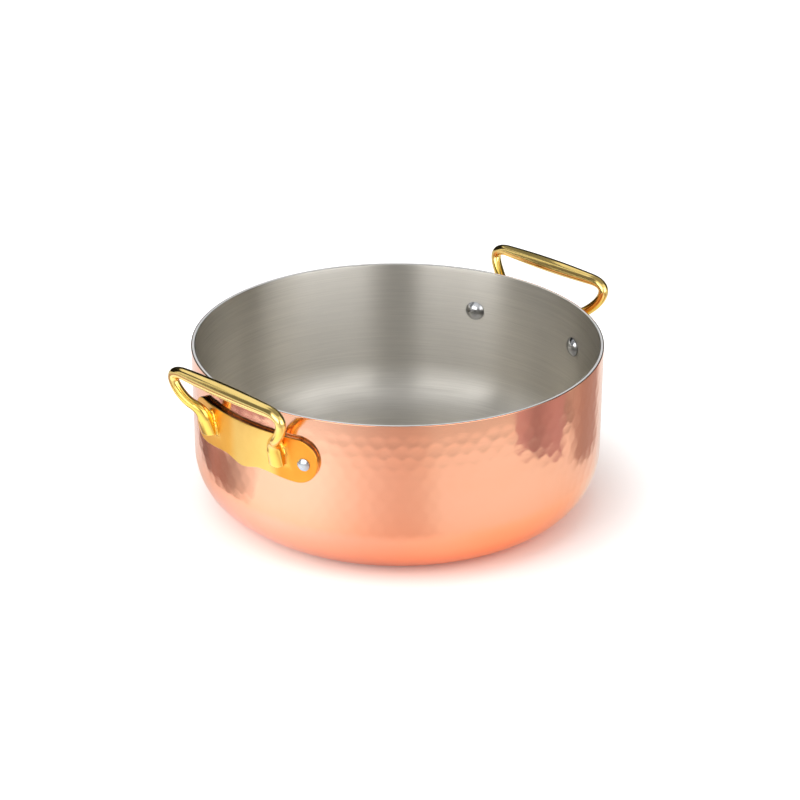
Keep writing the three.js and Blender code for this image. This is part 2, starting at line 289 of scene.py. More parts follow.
def mesh_piece(name, points, corners, counts, node, uv=None, crease=math.radians(40)):
    """A mesh object from point, corner and corner count arrays that stands for a CAD node.

    Faces are smooth, and edges sharper than the crease angle stay sharp. uv holds one pair a point.
    """
    mesh = bpy.data.meshes.new(name)
    mesh.vertices.add(len(points))
    mesh.loops.add(len(corners))
    mesh.polygons.add(len(counts))
    mesh.vertices.foreach_set("co", np.asarray(points, np.float32).ravel())
    mesh.loops.foreach_set("vertex_index", np.asarray(corners, np.int32))
    mesh.polygons.foreach_set("loop_start", (np.cumsum(counts) - counts).astype(np.int32))
    mesh.polygons.foreach_set("use_smooth", np.ones(len(counts), bool))
    mesh.update(calc_edges=True)
    if mesh.validate():
        raise RuntimeError(f"{name} has faces that Blender had to mend")
    if uv is not None:
        layer = mesh.uv_layers.new(name="Run")
        layer.data.foreach_set("uv", np.asarray(uv, np.float32)[corners].ravel())
    mesh.set_sharp_from_angle(angle=crease)
    piece = bpy.data.objects.new(name, mesh)
    bpy.context.scene.collection.objects.link(piece)
    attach(piece, "root")
    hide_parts(node)
    return piece


def grid_faces(rows, columns):
    """Corner indices of the quads of a grid of points that closes on itself along its columns.

    Quad (i, j) joins points (i, j), (i, j + 1), (i + 1, j + 1) and (i + 1, j).
    """
    i, j = np.meshgrid(np.arange(rows - 1), np.arange(columns), indexing="ij")
    right = (j + 1) % columns
    quads = np.stack([i * columns + j, i * columns + right, (i + 1) * columns + right,
                      (i + 1) * columns + j], -1)
    return quads.reshape(-1, 4)


def spun(profile, columns, sink=None):
    """Points, corners, counts and run of a profile of (radius, height) spun round Z, poles closed.

    The first and the last profile point lie on the axis. Point (i, j) is radius i times the cosine and
    sine of j / columns of a turn, and its height. sink holds how far each point is moved in and up. The
    run is the way round and the way along the profile.
    """
    turn = np.arange(columns) / columns * 2 * np.pi
    way = way_along(profile)
    radius = np.repeat(profile[1:-1, :1], columns, 1)
    height = np.repeat(profile[1:-1, 1:], columns, 1)
    if sink is not None:
        radius = radius - sink[0]
        height = height + sink[1]
    body = np.stack([radius * np.cos(turn), radius * np.sin(turn), height], -1).reshape(-1, 3)
    poles = np.array([[0, 0, profile[0, 1]], [0, 0, profile[-1, 1]]])
    points = np.concatenate([body, poles])
    quads = grid_faces(len(profile) - 2, columns)
    first, last = len(body), len(body) + 1
    j = np.arange(columns)
    start = np.stack([np.full(columns, first), (j + 1) % columns, j], -1)
    end_row = (len(profile) - 3) * columns
    end = np.stack([np.full(columns, last), end_row + j, end_row + (j + 1) % columns], -1)
    corners = np.concatenate([quads.ravel(), start.ravel(), end.ravel()])
    counts = np.concatenate([np.full(len(quads), 4), np.full(2 * columns, 3)])
    run = np.stack([np.broadcast_to(turn * profile[:, 0].max(), radius.shape),
                    np.repeat(way[1:-1, None], columns, 1)], -1).reshape(-1, 2)
    run = np.concatenate([run, [[0, way[0]], [0, way[-1]]]])
    return points, corners, counts, run


def body_curve(size, depth, flat_steps, corner_steps, wall_steps):
    """Half of the body's section at a depth under the outside: flat base, corner arc, upright wall.

    The arc's centre stays where the outside's is, and its radius is the corner radius less the depth.
    """
    flat = size.rim_radius - size.corner
    bend = size.corner - depth
    angle = np.linspace(-np.pi / 2, 0, corner_steps + 1)
    base = np.stack([np.linspace(0, flat, flat_steps + 1), np.full(flat_steps + 1, depth)], -1)
    arc = np.stack([flat + bend * np.cos(angle), size.corner + bend * np.sin(angle)], -1)
    rise = np.linspace(size.corner, size.height - size.ease, wall_steps + 1)
    wall = np.stack([np.full(wall_steps + 1, size.rim_radius - depth), rise], -1)
    return np.concatenate([base, arc[1:], wall[1:]])


def rim_curve(size, depth, thickness, outer, inner):
    """The rim between a ply's two sides: a quarter round at each edge whose radius is above zero."""
    outside, inside = size.rim_radius - depth, size.rim_radius - depth - thickness
    angle = np.linspace(0, np.pi / 2, RIM_STEPS + 1)
    out = np.stack([outside - outer + outer * np.cos(angle), size.height - outer + outer * np.sin(angle)], -1)
    back = np.stack([inside + inner - inner * np.cos(angle[::-1]),
                     size.height - inner + inner * np.sin(angle[::-1])], -1)
    out = out if outer else np.array([[outside, size.height]])
    back = back if inner else np.array([[inside, size.height]])
    return np.concatenate([out, back])


def hammered(size, turn, way):
    """How far each point of the copper is sunk by the nearest hammer marks.

    The marks lie in rows, each shifted by half a mark and a little at random. A mark is a paraboloid, and
    a point takes the deepest of the nine nearest: depth of the mark less bow times the squared distance.
    """
    rng = np.random.default_rng(MARK_SEED)
    circle = 2 * np.pi * size.rim_radius
    count = int(round(circle / size.mark_width))
    rows = int(way.max() / size.mark_rise) + 3
    u = (np.arange(count) + 0.5 * (np.arange(rows)[:, None] % 2)) / count * circle
    u = u + rng.normal(0, MARK_STRAY_SHARES[0], u.shape) * size.mark_width
    v = (np.arange(rows)[:, None] - 0.5 + rng.normal(0, MARK_STRAY_SHARES[1], u.shape)) * size.mark_rise
    deep = size.mark_depth * rng.uniform(LEAST_MARK_SHARE, 1.0, u.shape)
    bow = size.mark_depth / (0.5 * size.mark_width) ** 2
    across = turn * size.rim_radius
    row = np.clip(np.round(way / size.mark_rise + 0.5).astype(int), 1, rows - 2)
    sunk = np.zeros_like(across)
    for up in (-1, 0, 1):
        at_row = row + up
        column = np.round(across / circle * count - 0.5 * (at_row % 2)).astype(int)
        for side in (-1, 0, 1):
            at = (column + side) % count
            gap = across - u[at_row, at]
            gap = gap - circle * np.round(gap / circle)
            distance = gap ** 2 + (way - v[at_row, at]) ** 2
            sunk = np.maximum(sunk, deep[at_row, at] - bow * distance)
    return sunk


def fade(value, start, end):
    """0 below start, 1 above end, and a smooth cubic step between them."""
    share = np.clip((value - start) / (end - start), 0, 1)
    return share * share * (3 - 2 * share)


def ply_profile(size, depth, thickness, outer, inner, outside, inside):
    """A ply's closed half section, out along its underside, over the rim and back inside.

    Also the count of its points below the rim outside.
    """
    under = body_curve(size, depth, *outside)[:-1]
    over = rim_curve(size, depth, thickness, outer, inner)
    back = body_curve(size, depth + thickness, *inside)[::-1]
    return np.concatenate([under, over, back[1:]]), len(under)


def copper_skin(size):
    """The copper ply: its section spun round, with the outside sunk by the hammer marks.

    In the corner the sink turns with the arc. Its upward share is the way down the corner over the radius,
    and its inward share the root of one less that share squared.
    """
    outside = (*COPPER_STEPS, size.rows - sum(COPPER_STEPS))
    profile, outer_rows = ply_profile(size, 0, size.copper, size.ease, 0, outside, COPPER_INNER_STEPS)
    way = way_along(profile)[1:-1, None]
    turn = (np.arange(size.around) / size.around * 2 * np.pi)[None]
    way, turn = np.broadcast_arrays(way, turn)
    base, top = size.rim_radius - size.corner, way[outer_rows - 2, 0]
    rim_share = RIM_LOSS_SHARE * fade(way, top - MARKS_FADE, top - MARKS_FAINT)
    sunk = hammered(size, turn, way) * fade(way, base + MARKS_BEGIN, base + MARKS_FULL) * (1 - rim_share)
    sunk = sunk * (np.arange(len(way)) < outer_rows - 1)[:, None]
    height = profile[1:-1, 1:2]
    lean = np.clip((size.corner - height) / size.corner, 0, 1)
    points, corners, counts, run = spun(profile, size.around,
                                        (sunk * np.sqrt(1 - lean ** 2), sunk * lean))
    return mesh_piece("copper_skin", points, corners, counts, "copper_shell", run)


def plain_ply(name, node, size, depth, thickness, inner):
    """A smooth ply: its section spun round."""
    profile, _ = ply_profile(size, depth, thickness, 0, inner, PLY_OUTER_STEPS, PLY_INNER_STEPS)
    points, corners, counts, run = spun(profile, PLY_COLUMNS)
    return mesh_piece(name, points, corners, counts, node, run)


def bail_line(size):
    """Centre points, tangents, half widths and half depths of half a bail, from a foot to the middle.

    The line runs straight up the foot, through a quadratic curve at the neck and a cubic curve past
    elbow and shoulder, and along the grip. Width and depth blend from foot to neck to leg, then swell
    with the sine of the way in from the corner to the middle.
    """
    def place(reach, stand, height):
        return np.array([size.flange_outer + stand, reach, height])

    def toward(start, end, distance):
        return start + unit(end - start) * distance

    foot = place(size.foot_reach, size.foot_proud - size.foot_depth, size.foot_bottom)
    neck = place(size.neck_reach, size.neck_stand, size.neck_height)
    elbow = place(size.elbow_reach, size.elbow_stand, size.elbow_height)
    shoulder = place(size.shoulder_reach, size.grip_stand, size.grip_height)
    grip = place(size.grip_half_span, size.grip_stand, size.grip_height)
    middle = place(0, size.grip_stand, size.grip_height)
    below, leg = toward(neck, foot, size.neck_lead), toward(neck, elbow, size.neck_trail)
    t = np.linspace(0, 1, BAIL_STEPS)[:, None]
    stem = foot + (below - foot) * t
    bend = (1 - t) ** 2 * below + 2 * t * (1 - t) * neck + t ** 2 * leg
    sweep = ((1 - t) ** 3 * leg + 3 * t * (1 - t) ** 2 * elbow
             + 3 * t ** 2 * (1 - t) * shoulder + t ** 3 * grip)
    bar = grip + (middle - grip) * t
    line = np.concatenate([stem, bend[1:], sweep[1:], bar[1:]])
    share = t[:, 0]
    upper = np.concatenate([sweep[1:], bar[1:]])
    widest = upper[:, 1].argmax()
    inward = np.where(np.arange(len(upper)) > widest, 1 - upper[:, 1] / upper[widest, 1], 0)
    swell = size.leg_radius + (size.grip_radius - size.leg_radius) * np.sin(inward * np.pi / 2)
    width = np.concatenate([size.foot_width + (size.neck_width - size.foot_width) * share,
                            size.neck_width + (size.leg_radius - size.neck_width) * share[1:], swell])
    depth = np.concatenate([size.foot_depth + (size.neck_depth - size.foot_depth) * share,
                            size.neck_depth + (size.leg_radius - size.neck_depth) * share[1:], swell])
    return line, unit(np.gradient(line, axis=0)), width, depth


def nearest_on(line, points):
    """Index and share of the segment of a line that lies nearest to each point, and the distance.

    The share is the way along the segment, held between 0 and 1. Squared distances leave out the
    point's own square, which is the same for all segments.
    """
    start, step = line[:-1], np.diff(line, axis=0)
    span = np.maximum((step ** 2).sum(-1), NO_SPAN)
    index, share = [], []
    for part in np.array_split(points, max(1, len(points) // AT_A_TIME)):
        run = part @ step.T - (start * step).sum(-1)
        along = np.clip(run / span, 0, 1)
        square = (start ** 2).sum(-1) - 2 * part @ start.T + along * (along * span - 2 * run)
        best = square.argmin(1)
        index.append(best)
        share.append(along[np.arange(len(part)), best])
    index, share = np.concatenate(index), np.concatenate(share)
    return index, share, np.linalg.norm(points - start[index] - step[index] * share[:, None], axis=-1)


def lower_edge(size, reach):
    """Height of the flange's lower edge: a belly, a notch and a lobe, joined by half cosine waves."""
    lobe = size.flange_top - 2 * size.lobe_radius
    notch, belly = lobe + size.notch_rise, lobe - size.belly_drop

    def wave(start, end):
        return (1 - np.cos(np.pi * np.clip((reach - start) / (end - start), 0, 1))) / 2

    near, far = wave(0, size.notch_reach), wave(size.notch_reach, size.lobe_reach)
    return np.where(reach < size.notch_reach, belly + (notch - belly) * near, notch + (lobe - notch) * far)


def flange_edge(size):
    """Half of the flange's outline unrolled: upper edge, round end and lower edge."""
    angle = np.linspace(np.pi / 2, -np.pi / 2, LOBE_STEPS + 1)
    end = np.stack([size.lobe_reach + size.lobe_radius * np.cos(angle),
                    size.flange_top - size.lobe_radius + size.lobe_radius * np.sin(angle)], -1)
    reach = np.linspace(size.lobe_reach, OUTLINE_START, OUTLINE_STEPS)[1:]
    low = np.stack([reach, lower_edge(size, np.abs(reach))], -1)
    return np.concatenate([[[OUTLINE_START, size.flange_top]], end, low])


def flange_field(size, edge, reach, height, radius):
    """Distance to the flange: the outline's distance in the unrolled wall, met with its thickness.

    The outer edge is rounded: the root of the squared sum of both distances, less the rounding.
    """
    _, _, gap = nearest_on(edge, np.stack([reach, height], -1))
    past = np.hypot(reach - size.lobe_reach, height - size.flange_top + size.lobe_radius) < size.lobe_radius
    between = (reach < size.lobe_reach) & (height < size.flange_top) & (height > lower_edge(size, reach))
    flat = np.where(past | between, -gap, gap) + size.flange_ease
    out = radius - size.flange_outer + size.flange_ease
    rounded = np.minimum(np.maximum(flat, out), 0) + np.hypot(np.maximum(flat, 0), np.maximum(out, 0))
    return np.maximum(rounded - size.flange_ease, size.flange_inner - radius)


def bail_field(line, along, width, depth, points):
    """Distance to the bail: how far a point lies outside the oval section at the line's nearest place."""
    index, share, _ = nearest_on(line, points)
    share = share[:, None]

    def between(values):
        return values[index] + (values[index + 1] - values[index]) * share

    centre, tangent = between(line), unit(between(along))
    half_width, half_depth = between(width[:, None])[:, 0], between(depth[:, None])[:, 0]
    outward = np.array([1.0, 0, 0])
    across = unit(outward - tangent * tangent[:, :1])
    aside = np.cross(across, tangent)
    away = points - centre
    a, b = (away * across).sum(-1), (away * aside).sum(-1)
    ratio = np.sqrt((a / half_depth) ** 2 + (b / half_width) ** 2) + NO_RATIO
    steep = np.sqrt((a / half_depth ** 2) ** 2 + (b / half_width ** 2) ** 2) / ratio + NO_RATIO
    end = ((line[0] - points) * along[0]).sum(-1)
    return np.maximum((ratio - 1) / steep, end)


def casting_field(size, rivet, shapes, points):
    """Distance to the casting: the smooth least of flange and bail, with the rivet holes taken out.

    The smooth least of a and b is their blend less the fillet times share times (1 - share), where the
    share is half plus half their difference over the fillet. The fillet is wide outside the feet only.
    Also each point's share of the flange's face and of its edge, for the colours, the edge's for the painted
    shade.
    """
    edge, bail = shapes
    half = np.column_stack([points[:, 0], np.abs(points[:, 1]), points[:, 2]])
    radius = np.hypot(half[:, 0], half[:, 1])
    reach = np.arctan2(half[:, 1], half[:, 0]) * size.flange_outer
    flange = flange_field(size, edge, reach, half[:, 2], radius)
    tube = bail_field(*bail, half)
    outer = fade(reach, size.foot_reach, size.foot_reach + size.foot_width)
    high = fade(half[:, 2], size.foot_bottom - FILLET_BEGIN, size.foot_bottom + FILLET_FULL)
    fillet = size.crisp_fillet + (size.soft_fillet - size.crisp_fillet) * outer * high
    share = np.clip(0.5 + 0.5 * (tube - flange) / fillet, 0, 1)
    joined = tube + (flange - tube) * share - fillet * share * (1 - share)
    aside = np.sin((reach - rivet.reach) / size.flange_outer) * radius
    hole = rivet.shank + rivet.hole - np.hypot(aside, half[:, 2] - rivet.height)
    face = fade(radius, size.flange_outer - size.flange_ease, size.flange_outer - FACE_DEPTH)
    plate = np.clip(0.5 + 0.5 * (tube - flange) / COLOUR_BLEND, 0, 1)
    return np.maximum(joined, hole), np.stack([plate * face, plate * (1 - face)], -1)


def even_facets(source, voxel):
    """A closed mesh remeshed into even facets: its points, corners, counts and both ends of its edges."""
    rough = bpy.data.meshes.new("casting_rough")
    work = bmesh.new()
    work.from_mesh(source.data)
    bmesh.ops.remove_doubles(work, verts=work.verts, dist=MERGE)
    work.to_mesh(rough)
    work.free()
    model = bpy.data.objects.new("casting_rough", rough)
    bpy.context.scene.collection.objects.link(model)
    remesh = model.modifiers.new("Remesh", "REMESH")
    remesh.mode = "VOXEL"
    remesh.voxel_size = voxel
    graph = bpy.context.evaluated_depsgraph_get()
    fine = bpy.data.meshes.new_from_object(model.evaluated_get(graph))
    bpy.data.objects.remove(model)
    bpy.data.meshes.remove(rough)

    def read(items, key, width, kind):
        values = np.zeros(len(items) * width, kind)
        items.foreach_get(key, values)
        return values

    points = read(fine.vertices, "co", 3, float).reshape(-1, 3)
    corners = read(fine.loops, "vertex_index", 1, np.int32)
    counts = read(fine.polygons, "loop_total", 1, np.int32)
    ends = read(fine.edges, "vertices", 2, np.int32).reshape(-1, 2).T
    bpy.data.meshes.remove(fine)
    return points, corners, counts, ends


def casting(size, rivet):
    """Points, corners, counts, and shares of flange face and dark edge of one casting, on the right side.

    A copy of the CAD handle has its points evened out and moved along the field's slope onto its zero
    level: point less field times slope over the squared slope. The upper edge alone is dark, as painted shade
    that stands in for the shade and dark reflection where the flange meets the wall.
    """
    points, corners, counts, (a, b) = even_facets(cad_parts["right_handle"], size.voxel)
    shapes = flange_edge(size), bail_line(size)
    degree = np.bincount(np.concatenate([a, b]), minlength=len(points))[:, None]
    for turn in range(ROUNDS):
        for _ in range(SMOOTHINGS if turn else 0):
            total = np.zeros_like(points)
            np.add.at(total, a, points[b])
            np.add.at(total, b, points[a])
            points = points + 0.5 * (total / degree - points)
        here, _ = casting_field(size, rivet, shapes, points)
        slope = np.stack([(casting_field(size, rivet, shapes, points + step)[0] - here) / PROBE
                          for step in np.eye(3) * PROBE], -1)
        slope = slope / np.maximum((slope ** 2).sum(-1, keepdims=True), LEAST_SLOPE)
        for stride in STRIDES:
            here, share = casting_field(size, rivet, shapes, points)
            points = points - np.clip(here, -stride, stride)[:, None] * slope
    # The upward share sets where the flange's edge takes the painted shade
    upward = fade(slope[:, 2] / np.linalg.norm(slope, axis=1), *SHADE_UPWARD)
    return points, corners, counts, share[:, 0], share[:, 1] * upward


def domed(radius, rise):
    """A head's dome as (radius, height) pairs from its edge to its crown, on the sphere through both."""
    sphere = (radius ** 2 + rise ** 2) / (2 * rise)
    angle = math.asin(radius / sphere) * (1 - np.linspace(0, 1, DOME_STEPS + 1))
    return np.stack([sphere * np.sin(angle), rise - sphere * (1 - np.cos(angle))], -1)


def rivet_points(size, handle, pot, reach, flip):
    """A rivet's section spun round its shank, then laid along the wall's normal at its place.

    Each head is a dome above a short upright edge whose corner is broken, and the flat side rests
    over the wall or the flange with the seat's clearance.
    """
    inside = pot.rim_radius - pot.copper - pot.core - pot.lining - 2 * pot.bond
    flat = inside * math.cos(math.pi / WALL_FACETS)
    inner_seat = math.sqrt(flat ** 2 - size.inner_radius ** 2) - size.seat
    outer_seat = handle.flange_outer + size.seat
    inner_edge, outer_edge = inner_seat - size.edge, outer_seat + size.edge
    inner = domed(size.inner_radius - INNER_CORNER[0], size.inner_rise - size.edge)[::-1]
    outer = domed(size.outer_radius - OUTER_CORNER[0], size.outer_rise - size.edge)
    profile = np.concatenate([
        np.stack([inner[:, 0], inner_edge - inner[:, 1]], -1),
        [[size.inner_radius, inner_edge + INNER_CORNER[1]], [size.inner_radius, inner_seat],
         [size.shank, inner_seat], [size.shank, outer_seat], [size.outer_radius, outer_seat],
         [size.outer_radius, outer_edge - OUTER_CORNER[1]]],
        np.stack([outer[:, 0], outer_edge + outer[:, 1]], -1)])
    points, corners, counts, _ = spun(profile, RIVET_COLUMNS)
    angle = reach / handle.flange_outer
    out = np.array([math.cos(angle), math.sin(angle), 0])
    side = np.array([-math.sin(angle), math.cos(angle), 0])
    up = np.array([0, 0, 1.0])
    laid = points[:, :1] * side + points[:, 1:2] * up + points[:, 2:] * out + up * size.height
    return laid * np.array([flip, flip, 1]), corners, counts


def new_tree(data):
    """The emptied node tree of a material or a world."""
    data.use_nodes = True
    data.node_tree.nodes.clear()
    return data.node_tree


def new_material(name):
    """An empty node material and its tree."""
    material = bpy.data.materials.new(name)
    return material, new_tree(material)


def add(tree, kind, links=None, **settings):
    """A new node with its settings; links maps an input to a value or to another node's output."""
    node = tree.nodes.new(kind)
    for key, value in settings.items():
        setattr(node, key, value)
    for key, value in (links or {}).items():
        socket = node.inputs[key]
        if isinstance(value, bpy.types.NodeSocket):
            tree.links.new(value, socket)
        else:
            socket.default_value = (*value, 1) if socket.type == "RGBA" else value
    return node


def ranged(tree, value, start, end, low=0, high=1, smooth=False):
    """Low where the value is at the start, high at the end, and between them a line or a smooth step."""
    links = {"Value": value, "From Min": start, "From Max": end, "To Min": low, "To Max": high}
    kind = "SMOOTHSTEP" if smooth else "LINEAR"
    return add(tree, "ShaderNodeMapRange", links, interpolation_type=kind).outputs["Result"]


def maths(tree, operation, *values):
    """One step of arithmetic."""
    return add(tree, "ShaderNodeMath", dict(enumerate(values)), operation=operation).outputs[0]


def length_of(tree, vector):
    """The length of a vector."""
    return add(tree, "ShaderNodeVectorMath", {0: vector}, operation="LENGTH").outputs["Value"]


def parts_of(tree, vector):
    """The X, Y and Z outputs of a vector."""
    return add(tree, "ShaderNodeSeparateXYZ", {"Vector": vector}).outputs


def attribute(tree, name):
    """A point attribute's value or colour outputs."""
    return add(tree, "ShaderNodeAttribute", attribute_name=name).outputs


def mixed(tree, share, first, second, blend="MIX"):
    """The first colour where the share is 0, and the second where it is 1."""
    return add(tree, "ShaderNodeMix", {0: share, 6: first, 7: second},
               data_type="RGBA", blend_type=blend).outputs[2]


def noise(tree, vector, scale, detail, roughness=0.5, distortion=0):
    """A cloudy noise."""
    links = {"Vector": vector, "Scale": scale, "Detail": detail, "Roughness": roughness,
             "Distortion": distortion}
    return add(tree, "ShaderNodeTexNoise", links).outputs["Fac"]


def colour_ramp(tree, value, interpolation, tones):
    """A colour ramp whose stops are (position, colour) pairs, from left to right."""
    ramp = add(tree, "ShaderNodeValToRGB", {"Fac": value})
    ramp.color_ramp.interpolation = interpolation
    stops = ramp.color_ramp.elements
    stops.remove(stops[0])
    for i, (position, tone) in enumerate(tones):
        stop = stops.new(position) if i else stops[0]
        stop.position = position
        stop.color = (*tone, 1)
    return ramp.outputs["Color"]


def shared_group(tree, name, links, outputs, build):
    """Places a node group that is built once, by build(group, given), which returns its outputs' values.

    links maps each input's name to its value here. A linked input is a vector, and the others are floats.
    """
    if name not in bpy.data.node_groups:
        group = bpy.data.node_groups.new(name, "ShaderNodeTree")
        for label, value in links.items():
            kind = "NodeSocketVector" if isinstance(value, bpy.types.NodeSocket) else "NodeSocketFloat"
            group.interface.new_socket(label, in_out="INPUT", socket_type=kind)
        for label in outputs:
            group.interface.new_socket(label, in_out="OUTPUT", socket_type="NodeSocketFloat")
        values = build(group, group.nodes.new("NodeGroupInput").outputs)
        add(group, "NodeGroupOutput", dict(zip(outputs, values)))
    return add(tree, "ShaderNodeGroup", links, node_tree=bpy.data.node_groups[name]).outputs


def build_polish(group, given):
    """Hand polish: a soft smudge mask, and fine crossing scratches as a height."""
    cloud = noise(group, given["Vector"], given["Smudge scale"], 5, roughness=0.62, distortion=0.4)
    crossing = add(group, "ShaderNodeMapping", {"Vector": given["Vector"], "Rotation": (0.5, 0.3, 0.8),
                                                "Scale": (0.12, 1, 1)})
    fine = noise(group, crossing.outputs["Vector"], given["Scratch scale"], 3)
    return ranged(group, cloud, 0.38, 0.66), ranged(group, fine, 0.52, 0.72)


def polish(tree, place, smudge_scale, scratch_scale):
    """The smudge mask and the scratches of the hand polish at a metal's own scales."""
    links = {"Vector": place, "Smudge scale": smudge_scale, "Scratch scale": scratch_scale}
    outputs = shared_group(tree, "Hand polish", links, ("Smudge", "Scratch"), build_polish)
    return outputs["Smudge"], outputs["Scratch"]


def build_rings(group, given):
    """Brushing round the axis: noise that is slow in X and Y and quick along the piece's run."""
    place, along = parts_of(group, given["Vector"]), parts_of(group, given["Run"])

    def rings(lines_share, detail):
        x, y = (maths(group, "MULTIPLY", place[axis], given["Slow"]) for axis in "XY")
        lines = maths(group, "MULTIPLY", given["Lines"], lines_share)
        z = maths(group, "MULTIPLY", along["Y"], lines)
        joined = add(group, "ShaderNodeCombineXYZ", {"X": x, "Y": y, "Z": z})
        return noise(group, joined.outputs[0], 1, detail, roughness=0.6)

    return rings(1, 2), rings(0.16, 3)


def metal(tree, tone, rough, height, strength, distance, metallic=1, **more):
    """A metal's shader and output, from its colour, roughness, bump height and values for other inputs."""
    bump = add(tree, "ShaderNodeBump", {"Strength": strength, "Distance": distance, "Height": height})
    shader = add(tree, "ShaderNodeBsdfPrincipled",
                 {"Base Color": tone, "Roughness": rough, "Normal": bump.outputs["Normal"],
                  "Metallic": metallic, **more})
    add(tree, "ShaderNodeOutputMaterial", {"Surface": shader.outputs["BSDF"]})


def copper_material(look):
    """Polished copper: warmer in soft clouds and towards its base, with faint scratches and smudges."""
    material, tree = new_material("Polished copper")
    place = add(tree, "ShaderNodeTexCoord").outputs["Object"]
    smudge, scratch = polish(tree, place, smudge_scale=16, scratch_scale=420)
    clouded = [0.85 * plain + 0.15 * deep for plain, deep in zip(look.copper, look.copper_deep_and_shade)]
    # Painted shade: towards its base the copper deepens, standing in for the reflected shadow on the floor
    # near the pot
    low = ranged(tree, parts_of(tree, place)["Z"], 0.052, 0.004, high=0.75, smooth=True)
    tone = mixed(tree, low, mixed(tree, smudge, look.copper, clouded), look.copper_deep_and_shade)
    rough = ranged(tree, smudge, 0, 1, low=0.10, high=0.17)
    metal(tree, tone, rough, scratch, strength=0.06, distance=0.1 * MM)
    return material


def brushed_material(name, colour, dark, rough, lines, strength, metallic=1):
    """Brushed metal: fine rings that vary its tone, its gloss and its surface.

    Its highlights spread across the rings, because the tangent runs with them and is turned by a quarter.
    """
    material, tree = new_material(name)
    place = add(tree, "ShaderNodeTexCoord").outputs
    links = {"Vector": place["Object"], "Run": place["UV"], "Slow": 22, "Lines": lines}
    rings = shared_group(tree, "Brushed rings", links, ("Fine", "Broad"), build_rings)
    height = add(tree, "ShaderNodeMix", {0: 0.4, 2: rings["Fine"], 3: rings["Broad"]}).outputs[0]
    level = ranged(tree, height, 0.3, 0.7)
    tone = mixed(tree, level, [part * dark for part in colour], colour)
    gloss = ranged(tree, level, 0, 1, low=rough + 0.06, high=rough - 0.05)
    tangent = add(tree, "ShaderNodeTangent", direction_type="UV_MAP", uv_map="Run").outputs["Tangent"]
    metal(tree, tone, gloss, height, strength, 0.12 * MM, metallic,
          **{"Tangent": tangent, "Anisotropic": 0.92, "Anisotropic Rotation": 0.25})
    return material


def brass_material(look):
    """Polished cast brass: deeper and duller on the flange, paler on the grip, with a soft waviness."""
    material, tree = new_material("Polished brass")
    place = add(tree, "ShaderNodeTexCoord").outputs["Object"]
    flange = attribute(tree, "flange")["Fac"]
    smudge, scratch = polish(tree, place, smudge_scale=55, scratch_scale=700)
    # Painted light along the flange: a painted highlight between the feet, painted shade at one end
    along = ranged(tree, attribute(tree, "reach")["Fac"], -0.05, 0.05)
    plate = colour_ramp(tree, along, "EASE", (
        (0.0, look.plate), (0.38, look.plate), (0.47, look.plate_painted_highlight), (0.70, look.plate_painted_highlight),
        (0.79, look.plate_painted_shade), (1.0, look.plate_painted_shade)))
    # Painted highlight: the brass turns paler high up, on the grip
    high = ranged(tree, parts_of(tree, place)["Z"], 0.094, 0.105, smooth=True)
    tone = mixed(tree, flange, mixed(tree, high, look.brass, look.grip), plate)
    tone = mixed(tree, 1, tone, mixed(tree, smudge, (1, 1, 1), (0.94, 0.91, 0.84)), blend="MULTIPLY")
    # Painted shade on the flange's upper edge, where it faces upward
    dark = maths(tree, "MULTIPLY", attribute(tree, "edge")["Fac"], 0.88)
    tone = mixed(tree, dark, tone, look.edge)
    gloss = ranged(tree, smudge, 0, 1, low=0.09, high=0.16)
    rough = ranged(tree, flange, 0.45, 1, low=gloss, high=0.40)
    height = maths(tree, "MULTIPLY_ADD", scratch, 0.06, noise(tree, place, 90, 1))
    metal(tree, tone, rough, height, strength=0.25, distance=0.3 * MM)
    return material


def rivet_material(look):
    """Bright steel, faintly scratched, a little duller in soft spots."""
    material, tree = new_material("Bright steel")
    place = add(tree, "ShaderNodeTexCoord").outputs["Object"]
    smudge, scratch = polish(tree, place, smudge_scale=160, scratch_scale=1500)
    tone = mixed(tree, smudge, look.rivet, [0.8 * part for part in look.rivet])
    metal(tree, tone, ranged(tree, smudge, 0, 1, low=0.12, high=0.24), scratch, strength=0.15,
          distance=0.1 * MM)
    return material


class CASSEROLE_OT_body(bpy.types.Operator):
    """Makes the hammered copper skin, the aluminium core and the brushed steel lining"""
    bl_idname = "casserole.body"
    bl_label = "Pot body"

    def execute(self, context):
        size, look = context.scene.casserole_pot, context.scene.casserole_looks
        skin = copper_skin(size)
        depth = size.copper + size.bond
        core = plain_ply("core_ply", "aluminium_core", size, depth, size.core, 0)
        depth += size.core + size.bond
        lining = plain_ply("lining_ply", "steel_lining", size, depth, size.lining, size.ease)
        skin.data.materials.append(copper_material(look))
        core.data.materials.append(brushed_material(
            "Cut aluminium", look.core, dark=0.95, rough=0.3, lines=2200, strength=0.1, metallic=0.3))
        lining.data.materials.append(brushed_material(
            "Brushed steel", look.steel, dark=0.86, rough=0.38, lines=1700, strength=0.25))
        return {"FINISHED"}


class CASSEROLE_OT_handles(bpy.types.Operator):
    """Makes the two cast brass handles"""
    bl_idname = "casserole.handles"
    bl_label = "Handles"

    def execute(self, context):
        scene = context.scene
        points, corners, counts, plate, edge = casting(scene.casserole_handle, scene.casserole_rivet)
        brass = brass_material(scene.casserole_looks)
        for side, flip in (("right", 1), ("left", -1)):
            piece = mesh_piece(f"{side}_casting", points * (flip, flip, 1), corners, counts,
                               f"{side}_handle", crease=math.radians(70))
            for label, share in (("flange", plate), ("edge", edge), ("reach", points[:, 1])):
                layer = piece.data.attributes.new(label, "FLOAT", "POINT")
                layer.data.foreach_set("value", share.astype(np.float32))
            piece.data.materials.append(brass)
        return {"FINISHED"}


